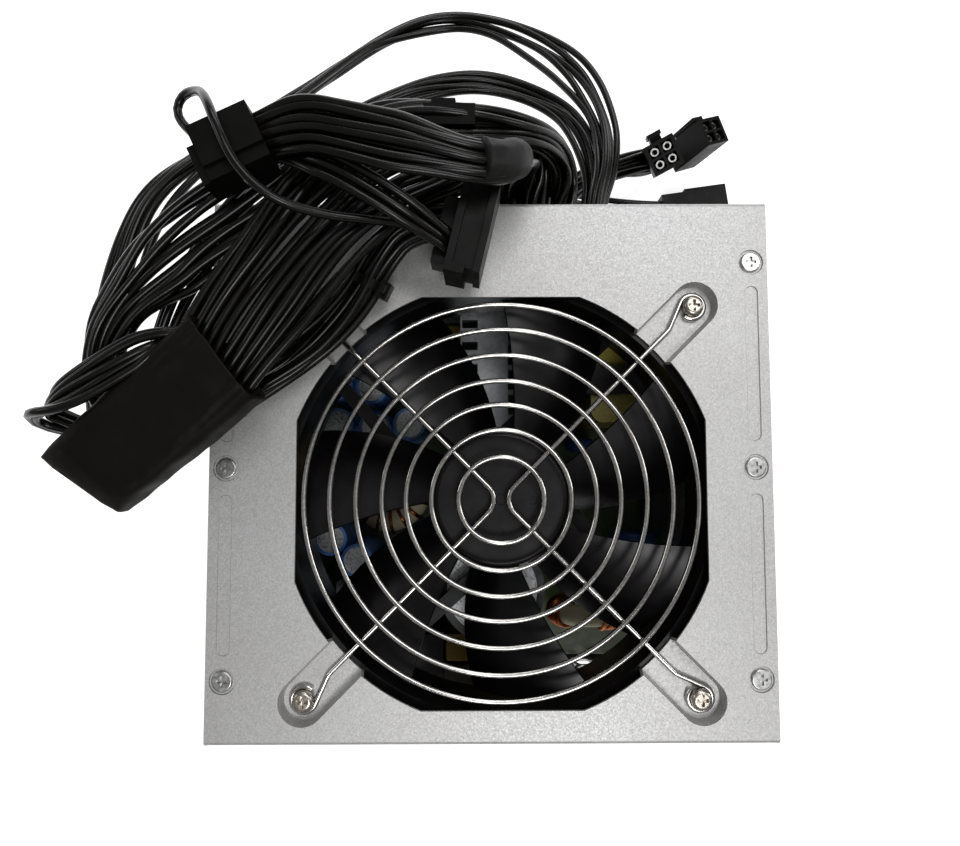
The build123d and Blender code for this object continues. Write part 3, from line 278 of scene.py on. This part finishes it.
MAIN_ROUTE = [
    (14.5, 69.5, 63.8), (14.5, 80, 63.8), (13.5, 91.5, 71), (4, 94.5, 80.5), (-8, 86.5, 91),
    (-18.5, 79, 98.3), (-28.5, 73, 102), (-40.5, 63, 103.5), (-53.5, 46.5, 103.5), (-70, 22.2, 102.1),
]
FRONT_ROUTE = [
    (5.5, 69.5, 63.8), (5.5, 81, 63.8), (6, 85.5, 75), (7.5, 81.5, 91), (7.5, 76.5, 104.5),
    (0, 70.5, 114), (-15, 72.8, 116.5), (-32, 77, 116), (-46, 80.8, 113.5), (-58.5, 78.2, 109.6),
]
LOOP_ROUTE = [
    (22.5, 69.5, 64.6), (22.5, 80, 64.6), (21.5, 89, 73), (15.5, 90.5, 85), (6.5, 89, 94.5),
    (-5, 87.5, 100), (-22, 87, 101.5), (-44.5, 78.5, 101), (-61.5, 68.5, 100.7), (-78, 56.5, 100.5),
    (-90.5, 44, 98.5), (-99.5, 32.5, 95), (-101.5, 19.5, 90.5), (-91, 10, 88.6), (-76, 13.5, 90.5),
    (-61, 22.5, 92), (-47, 32, 92), (-35.5, 43, 92), (-28.5, 54.5, 93), (-20.5, 62, 96), (-9, 62.3, 97.5),
]
LONG_ROUTE = [
    (33.5, 69.5, 63), (33.5, 80, 63), (38, 94, 61), (37.5, 114.5, 53), (26, 140, 41),
    (6, 155.5, 34), (-17, 161, 31), (-41, 149.5, 36), (-59, 127, 47), (-73, 105, 62), (-84, 90, 75),
    (-92, 76, 83), (-97.5, 61, 85.5), (-103, 46.5, 84.5), (-107.5, 32, 81.5), (-108.5, 18, 81),
    (-103.5, 6, 88), (-95, -3, 98),
]
SHORT_ROUTE = [
    (32, 69.5, 55.6), (32, 79, 55.6), (34.5, 92, 55.3), (32, 107, 51.5), (25.5, 121, 46),
    (5, 130.5, 44), (-16, 128, 47.5), (-34, 115, 57), (-48, 97.5, 72), (-61, 78, 86),
    (-71, 63.5, 91.5), (-80, 49.5, 92), (-86, 37.5, 92), (-87.5, 26, 94), (-84, 16.5, 99),
]
CPU_ROUTE = [
    (20, 69.5, 55.6), (20, 80, 55.6), (27, 91.5, 48.5), (37, 98, 44), (46, 102.5, 40.5), (56.3, 106, 38),
]
BRANCH_ROUTE = [(38, 99, 42), (46, 104, 31), (56, 109.5, 17.5), (65.5, 114.5, 8.5), (75.8, 118.9, 12.8)]
SPARE_ROUTE = [
    (7, 69.5, 55.6), (7, 78, 55.6), (11, 89, 46), (19, 96.5, 29), (31, 100.5, 13), (46, 101, 4.5),
    (62, 99.5, 4), (69.5, 99, 4.5),
]
TAIL_ROUTE = [
    (-54, 74.5, 108), (-45, 73.3, 112), (-38, 70.5, 114), (-28, 64.8, 114), (-18, 59, 110.5),
    (-9.7, 53.7, 104.5),
]
SENSE_ROUTE = [
    (-68, 77.5, 106), (-74.5, 83, 103.5), (-78.8, 88, 103), (-77, 92.6, 104),
    (-71, 91.8, 108), (-66, 85, 116.3), (-62.5, 77.5, 119.6), (-58.2, 68, 118.8),
    (-50.5, 61.2, 116.5), (-40.5, 59.5, 111.5), (-29.5, 59.5, 107.8), (-20, 60, 104),
    (-11, 56, 101),
]
FOLD_ROUTE = [
    (-73.8, 31.2, 102.4), (-80, 31.2, 106), (-91.5, 24.8, 106.5), (-102, 18.8, 105), (-110, 14.5, 102),
    (-111.8, 12.2, 97), (-98, 7.5, 97),
]

main, main_line = bundle(
    "main_wires", "main_cable", MAIN_ROUTE, (9, 10),
    [
        (0, 0, 1, 0, 0, 0), (0.2, 0.1, 1, 0, 0, 0), (0.45, 0.9, 1.1, 0, 0, 0), (0.62, 1, 1.2, 1.0, 0, 0),
        (0.8, 1, 1.15, 1.0, 0, 0), (1, 1, 0.95, 0, 0, 0),
    ],
    1.8, 11, strays=((3, 0.7, 0.12, 1.5, 1.8), (9, 0.65, 0.14, -1.5, 2.0), (14, 0.75, 0.1, -1.4, 1.6)),
)
front, front_line = bundle(
    "front_wires", "front_cable", FRONT_ROUTE, (4, 6),
    [
        (0, 0, 1, 0, 0, 0), (0.45, 0, 1, 0, 0, 0), (0.55, 0.4, 0.8, 0, 0, 0), (0.72, 0.9, 1.1, 0.3, 0, 0),
        (0.88, 1, 1.05, 0.6, 0, 0), (1, 0.6, 0.9, 0, 0, 0),
    ],
    1.4, 23,
)
loop, loop_line = bundle(
    "loop_wires", "loop_cable", LOOP_ROUTE, (6, 5),
    [
        (0, 0, 1, 0, 0, 0), (0.1, 0.3, 0.8, 0, 0, 0), (0.2, 0.6, 0.8, 0, 0, 0), (0.28, 1, 0.9, 0, 0, 0),
        (0.38, 1, 1.35, -1.0, 0, 0), (0.48, 1, 1.3, -1.0, 0, 0), (0.55, 0.6, 1, 0, 0, 0),
        (0.62, 0.2, 1, 0, 0, 0),
        (0.8, 0.5, 1.0, 0, 0, 0), (0.92, 0.2, 1, 0, 0, 0), (1, 0.2, 1, 0, 0, 0),
    ],
    2.2, 37,
)
long_run, long_line = bundle(
    "long_drive_wires", "long_drive_cable", LONG_ROUTE, (5,),
    [
        (0, 0, 1, 0, 0, 0), (0.12, 0.5, 1, 0, 0, 0), (0.22, 0.9, 1.1, 0, 0, 0), (0.36, 0.5, 0.9, 0, 0, 0),
        (0.5, 0, 0.7, 0, 0, 0), (0.62, 0.2, 0.8, 0, 0, 0), (0.8, 0.8, 1.1, 0, 0, 0), (1, 0, 1, 0, 0, 0),
    ],
    1.8, 41,
)
short_run, short_line = bundle(
    "short_drive_wires", "short_drive_cable", SHORT_ROUTE, (5,),
    [
        (0, 0, 1, 0, 0, 0), (0.15, 0.5, 1, 0, 0, 0), (0.3, 0.6, 0.9, -1.5, 0, 0), (0.5, 0.3, 0.9, 0, 0, 0),
        (0.7, 0.7, 1.1, 0, 0, 0), (1, 0, 1, 0, 0, 0),
    ],
    2.0, 53,
)
cpu, cpu_line = bundle(
    "cpu_wires", "cpu_cable", CPU_ROUTE, (4, 4),
    [(0, 0, 1, 0, 0, 0), (0.5, 0.2, 1, 0, 0, 0), (1, 0.2, 1, 0, 0, 0)], 0.8, 61,
)
branch, branch_line = bundle(
    "cpu_branch_wires", "cpu_branch", BRANCH_ROUTE, (4,),
    [(0, 0, 1, 0, 0, 0), (1, 0, 1, 0, 0, 0)], 0.8, 67,
)
spare, spare_line = bundle(
    "spare_wires", "spare_cable", SPARE_ROUTE, (4,),
    [(0, 0, 1, 0, 0, 0), (0.5, 0.4, 1, 0, 0, 0), (1, 1, 1, 0, 0, 0)], 1.0, 71,
)
tail, tail_line = bundle(
    "tail_wires", "plug_tail", TAIL_ROUTE, (3,),
    [(0, 0, 1, 0, 0, 0), (0.3, 1, 1.15, 0, 0, 0), (0.7, 1, 1.1, 0, 0, 0), (1, 0.5, 1, 0, 0, 0)], 0.6, 79,
)
sense, sense_line = bundle(
    "sense_single_wire", "sense_wire", SENSE_ROUTE, (1,), [(0, 0, 1, 0, 0, 0), (1, 0, 1, 0, 0, 0)], 0.0, 83,
)
fold, fold_line = bundle(
    "fold_group_wires", "fold_wires", FOLD_ROUTE, (5,),
    [(0, 0, 0.8, 0, 0, 0), (0.25, 0.8, 0.9, 0, 0, 0), (0.6, 0.7, 0.95, 0, 0, 0), (1, 0, 0.8, 0, 0, 0)],
    1.4, 89,
)


# ---- wrap and boot -------------------------------------------------------


def lofted(bm, rings):
    """A skin over rings of points, closed at its ends."""
    made = [[bm.verts.new(p) for p in ring] for ring in rings]
    for a, b in zip(made, made[1:]):
        for k in range(len(a)):
            bm.faces.new((a[k], a[(k + 1) % len(a)], b[(k + 1) % len(a)], b[k]))
    bm.faces.new(made[0])
    bm.faces.new(made[-1])


def rounded(value, power):
    return math.copysign(abs(value) ** (2 / power), value)


def wrap_skin(bm):
    """A flattened sleeve: rippled by the wires at its mouth, pressed thinner at its far end."""
    middle = Vector((-82.3, 11.6, 101.5)) * MM
    along = Vector((0.763, 0.638, 0.104)).normalized()
    up = Vector((-0.095, -0.05, 0.99))
    up = (up - along * up.dot(along)).normalized()
    across = up.cross(along)
    rings = []
    around = 96
    length = 84
    for i in range(length + 1):
        s = i / length
        pinch = max((s - 0.80) / 0.20, 0.0)
        half_height = (6.1 - 0.3 * s) * (1 - 0.42 * pinch**2.2)
        half_width = 12.7 + 0.2 * math.sin(5 * s) - 0.7 * s
        ring = []
        for k in range(around):
            turn = 2 * math.pi * k / around
            x = half_width * rounded(math.cos(turn), 6.0)
            z = half_height * rounded(math.sin(turn), 5.0)
            edge = max(0.0, 1 - abs(x / half_width) ** 6)
            ripple = 0.28 * math.cos(2 * math.pi * (x + 1.5 * s) / 2.7) * math.exp(-((s / 0.34) ** 2))
            ridge = 0.65 * bell(x + 0.5 - 3.0 * s, 0.9) * bell(s - 0.32, 0.24)
            ridge += 0.5 * bell(x - 5.2 - 2.0 * s, 0.7) * bell(s - 0.25, 0.2)
            place = Vector((x * 0.16, s * 7.0, 0.6 if z > 0 else 5.0))
            crumple = 0.42 * noise.noise(place) + 0.16 * noise.noise(place * 3.3)
            z += math.copysign(1, z) * edge * (ripple + ridge + crumple) if abs(z) > 0.2 * half_height else 0
            x += 0.28 * noise.noise(Vector((s * 9, turn, 4.0)))
            end = 0.5 * noise.noise(Vector((x * 0.35, 0.0, 9.0))) * (1 if i in (0, length) else 0.4)
            reach = 23.9 - 47.7 * s + end + x * (0.03 - 0.32 * s)
            ring.append(middle + along * reach * MM + across * x * MM + up * z * MM)
        rings.append(ring)
    inner = [[p.lerp(sum(rings[0], Vector()) / around, 0.07) for p in rings[0]]]
    inner.append([p - along * 2.5 * MM for p in inner[0]])
    lofted(bm, inner[::-1] + rings)


wrap = mesh_object("wrap_sleeve", wrap_skin)
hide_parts("cable_wrap")
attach(wrap, "case")


def boot_skin(bm):
    """Heat-shrink over the turn of the front bundle: lumpy where it grips the wires, its rim rolled."""
    wanted = Vector((-2.5, 70.8, 113.8)) * MM
    first = min(range(len(front_line)), key=lambda i: (front_line[i] - wanted).length)
    line = evenly(front_line[first - 8:first + 1][::-1], 0.35 * MM)
    sides, tops = frames_along(line)
    around = 48
    stations = [(0.0, 4.7), (0.03, 5.1), (0.10, 4.9), (0.45, 5.1), (0.8, 5.0), (0.93, 4.5), (1.0, 3.1)]
    rings = []
    for i, point in enumerate(line):
        s = i / (len(line) - 1)
        radius = between(stations, s)[0]
        ring = []
        for k in range(around):
            turn = 2 * math.pi * k / around
            place = Vector((math.cos(turn) * 1.3, math.sin(turn) * 1.3, s * 3.0))
            lump = 0.2 * math.cos(7 * turn + 2 * s) * (1 - s) + 0.4 * noise.noise(place)
            reach = (radius + lump) * MM
            ring.append(point + sides[i] * math.cos(turn) * reach + tops[i] * math.sin(turn) * reach * 0.96)
        rings.append(ring)
    lofted(bm, rings)


boot = mesh_object("shrink_boot", boot_skin)
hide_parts("heat_shrink")
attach(boot, "case")


# ---- materials -----------------------------------------------------------


def colour(value):
    """A linear colour from 0 to 255 screen values."""
    out = []
    for part in value:
        c = part / 255
        out.append(c / 12.92 if c <= 0.04045 else ((c + 0.055) / 1.055) ** 2.4)
    return (out[0], out[1], out[2], 1.0)


NOISE_ROUGHNESS = 0.55
NOISE_LOW = 0.3
NOISE_HIGH = 0.7


class Look:
    """One procedural material, built from layered noises in object space."""

    def __init__(self, name):
        self.material = bpy.data.materials.new(name)
        self.material.use_nodes = True
        self.tree = self.material.node_tree
        self.shader = self.tree.nodes["Principled BSDF"]
        self.place = self.tree.nodes.new("ShaderNodeTexCoord").outputs["Object"]
        self.bumps = None

    def node(self, kind, **inputs):
        made = self.tree.nodes.new(kind)
        for key, value in inputs.items():
            made.inputs[key].default_value = value
        return made

    def noise(self, scale, detail=3.0, stretch=(1, 1, 1)):
        shift = self.node("ShaderNodeMapping")
        shift.inputs["Scale"].default_value = stretch
        self.tree.links.new(self.place, shift.inputs["Vector"])
        made = self.node("ShaderNodeTexNoise", Scale=scale, Detail=detail, Roughness=NOISE_ROUGHNESS)
        self.tree.links.new(shift.outputs["Vector"], made.inputs["Vector"])
        return made.outputs["Fac"]

    def cells(self, scale):
        made = self.node("ShaderNodeTexVoronoi", Scale=scale)
        self.tree.links.new(self.place, made.inputs["Vector"])
        return made

    def ramp(self, source, *stops):
        made = self.node("ShaderNodeValToRGB")
        band = made.color_ramp
        while len(band.elements) < len(stops):
            band.elements.new(0.5)
        for element, (at, value) in zip(band.elements, stops):
            element.position = at
            element.color = value if len(value) == 4 else (*value, 1.0)
        self.tree.links.new(source, made.inputs["Fac"])
        return made.outputs["Color"]

    def mix(self, kind, fac, a, b):
        made = self.node("ShaderNodeMix")
        made.data_type = "RGBA"
        made.blend_type = kind
        for socket, value in ((made.inputs[0], fac), (made.inputs[6], a), (made.inputs[7], b)):
            if isinstance(value, (int, float, tuple)):
                socket.default_value = value
            else:
                self.tree.links.new(value, socket)
        return made.outputs[2]

    def base(self, source):
        self.tree.links.new(source, self.shader.inputs["Base Color"])

    def rough(self, source, low, high):
        made = self.node("ShaderNodeMapRange")
        made.inputs["From Min"].default_value = NOISE_LOW
        made.inputs["From Max"].default_value = NOISE_HIGH
        made.inputs["To Min"].default_value = low
        made.inputs["To Max"].default_value = high
        self.tree.links.new(source, made.inputs["Value"])
        self.tree.links.new(made.outputs["Result"], self.shader.inputs["Roughness"])

    def bump(self, source, strength, depth):
        made = self.node("ShaderNodeBump", Strength=strength, Distance=depth)
        self.tree.links.new(source, made.inputs["Height"])
        if self.bumps is not None:
            self.tree.links.new(self.bumps, made.inputs["Normal"])
        self.bumps = made.outputs["Normal"]
        self.tree.links.new(self.bumps, self.shader.inputs["Normal"])

    def set(self, **values):
        names = {"metal": "Metallic", "gloss": "Specular IOR Level"}
        for key, value in values.items():
            self.shader.inputs[names[key]].default_value = value


def grey(level):
    return colour((level, level, level))


def plastic(name, dark, light, rough=(0.35, 0.5), grain=2600, bump=0.12, gloss=0.5, mottle=45):
    """Moulded plastic: fine grain and faint cloudiness."""
    look = Look(name)
    cloud = look.noise(mottle, 4.0)
    fine = look.noise(grain, 2.0)
    tone = look.ramp(cloud, (0.3, colour(dark)), (0.72, colour(light)))
    look.base(look.mix("MULTIPLY", 0.35, tone, look.ramp(fine, (0.3, grey(190)), (0.7, grey(255)))))
    look.rough(look.noise(mottle * 3, 4.0), rough[0], rough[1])
    look.bump(fine, bump, 0.00008)
    look.bump(look.noise(mottle * 2.2, 3.0), bump * 0.8, 0.0003)
    look.set(gloss=gloss)
    return look


def metal(
    name, dark, light, rough=(0.25, 0.45), scratch=900, stretch=(1, 1, 1), bump=0.1, shine=1.0, blotch=60,
):
    """Metal: blotches, fine scratches and uneven polish."""
    look = Look(name)
    cloud = look.noise(blotch, 5.0)
    scratches = look.noise(scratch, 3.0, stretch)
    tone = look.ramp(cloud, (0.28, colour(dark)), (0.74, colour(light)))
    look.base(look.mix("MULTIPLY", 0.4, tone, look.ramp(scratches, (0.32, grey(175)), (0.66, grey(255)))))
    look.rough(scratches, rough[0], rough[1])
    look.bump(scratches, bump, 0.00006)
    look.set(metal=shine)
    return look


def galvanised():
    """Zinc-coated sheet: fine crystals, speckle and soft stains."""
    look = Look("galvanised_steel")
    crystals = look.cells(2600)
    grains = look.ramp(crystals.outputs["Color"], (0.1, grey(192)), (0.5, grey(203)), (0.95, grey(214)))
    speckle = look.ramp(look.noise(4200, 3.0), (0.34, grey(196)), (0.64, grey(255)))
    stain = look.ramp(look.noise(16, 5.0), (0.3, colour((238, 236, 231))), (0.7, grey(255)))
    tone = look.mix("MULTIPLY", 0.5, look.mix("MULTIPLY", 0.55, grains, speckle), stain)
    look.base(tone)
    look.rough(look.noise(1800, 3.0), 0.46, 0.60)
    look.bump(look.noise(4200, 3.0), 0.18, 0.00004)
    look.bump(look.noise(60, 2.0), 0.05, 0.0006)
    look.set(metal=0.8)
    return look


def ferrite(name, dark, light):
    """Fired ferrite: dull, coarse and cloudy."""
    return plastic(name, dark, light, (0.5, 0.8), 1800, 0.3, 0.35, 120)


LOOKS = {
    "galvanised_steel": galvanised(),
    "guard_wire": metal(
        "guard_wire", (176, 174, 170), (222, 220, 216), (0.10, 0.2), 1200, bump=0.08, blotch=90,
    ),
    "screw_nickel": metal("screw_nickel", (168, 162, 152), (206, 199, 189), (0.2, 0.34), 1500, bump=0.06),
    "fan_black": plastic("fan_black", (3, 3, 4), (8, 8, 9), (0.28, 0.4), 3200, 0.14, 0.3),
    "cable_black": plastic("cable_black", (3, 3, 2), (11, 9, 7), (0.22, 0.32), 2400, 0.12, 0.3, 80),
    "plug_black": plastic("plug_black", (3, 3, 2), (8, 7, 6), (0.36, 0.5), 2800, 0.18, 0.15, 70),
    "wrap_black": plastic("wrap_black", (8, 6, 4), (17, 13, 8), (0.5, 0.65), 1500, 0.3, 0.12, 60),
    "boot_grey": plastic("boot_grey", (8, 8, 8), (18, 17, 16), (0.45, 0.6), 2000, 0.2, 0.22, 80),
    "tin": metal("tin", (176, 176, 176), (222, 222, 220), (0.25, 0.42)),
    "brass_part": metal("brass_part", (176, 142, 82), (222, 190, 122), (0.25, 0.4)),
    "ferrite_magnet": ferrite("ferrite_magnet", (40, 40, 42), (62, 62, 64)),
    "stator_steel": metal("stator_steel", (110, 110, 112), (160, 160, 160), (0.35, 0.55)),
    "board_fr4": plastic("board_fr4", (58, 74, 40), (84, 100, 58), (0.3, 0.45), 1200, 0.2, 0.5, 50),
    "clear_sheet": plastic("clear_sheet", (196, 198, 196), (222, 224, 222), (0.12, 0.25), 900, 0.08, 0.5, 40),
    "heatsink_aluminium": metal(
        "heatsink_aluminium", (150, 152, 154), (196, 198, 200), (0.32, 0.5), 700, (1, 1, 12),
    ),
    "epoxy_black": plastic("epoxy_black", (22, 22, 24), (36, 36, 38), (0.4, 0.55)),
    "can_aluminium": metal(
        "can_aluminium", (206, 208, 210), (240, 241, 242), (0.22, 0.38), 1100, (1, 1, 6), shine=0.45,
    ),
    "sleeve_blue": plastic("sleeve_blue", (36, 108, 205), (140, 190, 240), (0.25, 0.4), 1500, 0.1, 0.5, 90),
    "sleeve_black": plastic("sleeve_black", (20, 21, 24), (36, 38, 42), (0.22, 0.36), 1500, 0.1),
    "tape_yellow": plastic("tape_yellow", (160, 146, 58), (204, 190, 92), (0.25, 0.4), 900, 0.15, 0.5, 120),
    "ferrite_core": ferrite("ferrite_core", (44, 44, 46), (70, 70, 70)),
    "core_cream": plastic("core_cream", (196, 186, 150), (226, 218, 186), (0.5, 0.7), 1600, 0.2, 0.4),
    "copper": metal("copper", (150, 78, 40), (214, 128, 74), (0.22, 0.36), 900),
    "film_box": plastic("film_box", (150, 120, 50), (190, 158, 80), (0.3, 0.45)),
    "disc_blue": plastic("disc_blue", (30, 66, 130), (62, 104, 170), (0.25, 0.4), 1200, 0.15),
    "fuse_ceramic": plastic("fuse_ceramic", (206, 204, 198), (232, 230, 226), (0.25, 0.4)),
    "inlet_black": plastic("inlet_black", (18, 18, 19), (30, 30, 31), (0.35, 0.5)),
}

for name, node in NODES.items():
    slot = next((m.name for m in node.data.materials if m), None)
    look = LOOKS.get(slot)
    if look:
        node.data.materials.clear()
        node.data.materials.append(look.material)

for obj in (main, front, loop, long_run, short_run, cpu, branch, spare, tail, sense, fold):
    obj.data.materials.append(LOOKS["cable_black"].material)
wrap.data.materials.append(LOOKS["wrap_black"].material)
boot.data.materials.append(LOOKS["boot_grey"].material)


# ---- stage ---------------------------------------------------------------

CASE_TOP = (0, 0, 0.08)
CASE_MIDDLE = (0, 0, 0.05)
FLOOR_SIZE = 6
FLOOR_GLOW = 0.6
WORLD_LIGHT = 0.23

bpy.ops.mesh.primitive_plane_add(size=FLOOR_SIZE, location=(0, 0, 0))
floor = bpy.context.object
floor.name = "floor"
floor_look = Look("floor")
floor_look.base(floor_look.ramp(floor_look.noise(6, 2.0), (0.3, grey(246)), (0.7, grey(250))))
floor_look.rough(floor_look.noise(9, 2.0), 0.6, 0.75)
floor_look.shader.inputs["Emission Color"].default_value = (1.0, 1.0, 1.0, 1.0)
floor_look.shader.inputs["Emission Strength"].default_value = FLOOR_GLOW
floor.data.materials.append(floor_look.material)


def softbox(name, place, aim, size, power):
    """A rectangular area light at a place in metres, turned to its aim."""
    data = bpy.data.lights.new(name, "AREA")
    data.shape = "RECTANGLE"
    data.size = size[0]
    data.size_y = size[1]
    data.energy = power
    lamp = bpy.data.objects.new(name, data)
    lamp.location = place
    lamp.rotation_euler = (Vector(aim) - Vector(place)).to_track_quat("-Z", "Y").to_euler()
    bpy.context.scene.collection.objects.link(lamp)


softbox("key", (0.26, 0.42, 1.0), CASE_TOP, (0.62, 0.36), 3.5)
softbox("near", (0.12, -0.46, 0.95), CASE_TOP, (0.36, 0.28), 3.3)
softbox("right", (0.58, 0.0, 1.0), CASE_TOP, (0.3, 0.6), 0.25)
softbox("low_left", (-1.2, 0.4, 0.7), CASE_MIDDLE, (0.4, 0.4), 1.2)
softbox("low_right", (1.2, 0.3, 0.6), CASE_MIDDLE, (0.4, 0.4), 2.5)
softbox("low_back", (0.1, 1.3, 0.6), CASE_MIDDLE, (0.7, 0.3), 3.0)

world = bpy.data.worlds.new("world")
bpy.context.scene.world = world
world.use_nodes = True
world.node_tree.nodes["Background"].inputs["Color"].default_value = (1.0, 1.0, 1.0, 1.0)
world.node_tree.nodes["Background"].inputs["Strength"].default_value = WORLD_LIGHT
bpy.context.scene.view_settings.view_transform = "Standard"
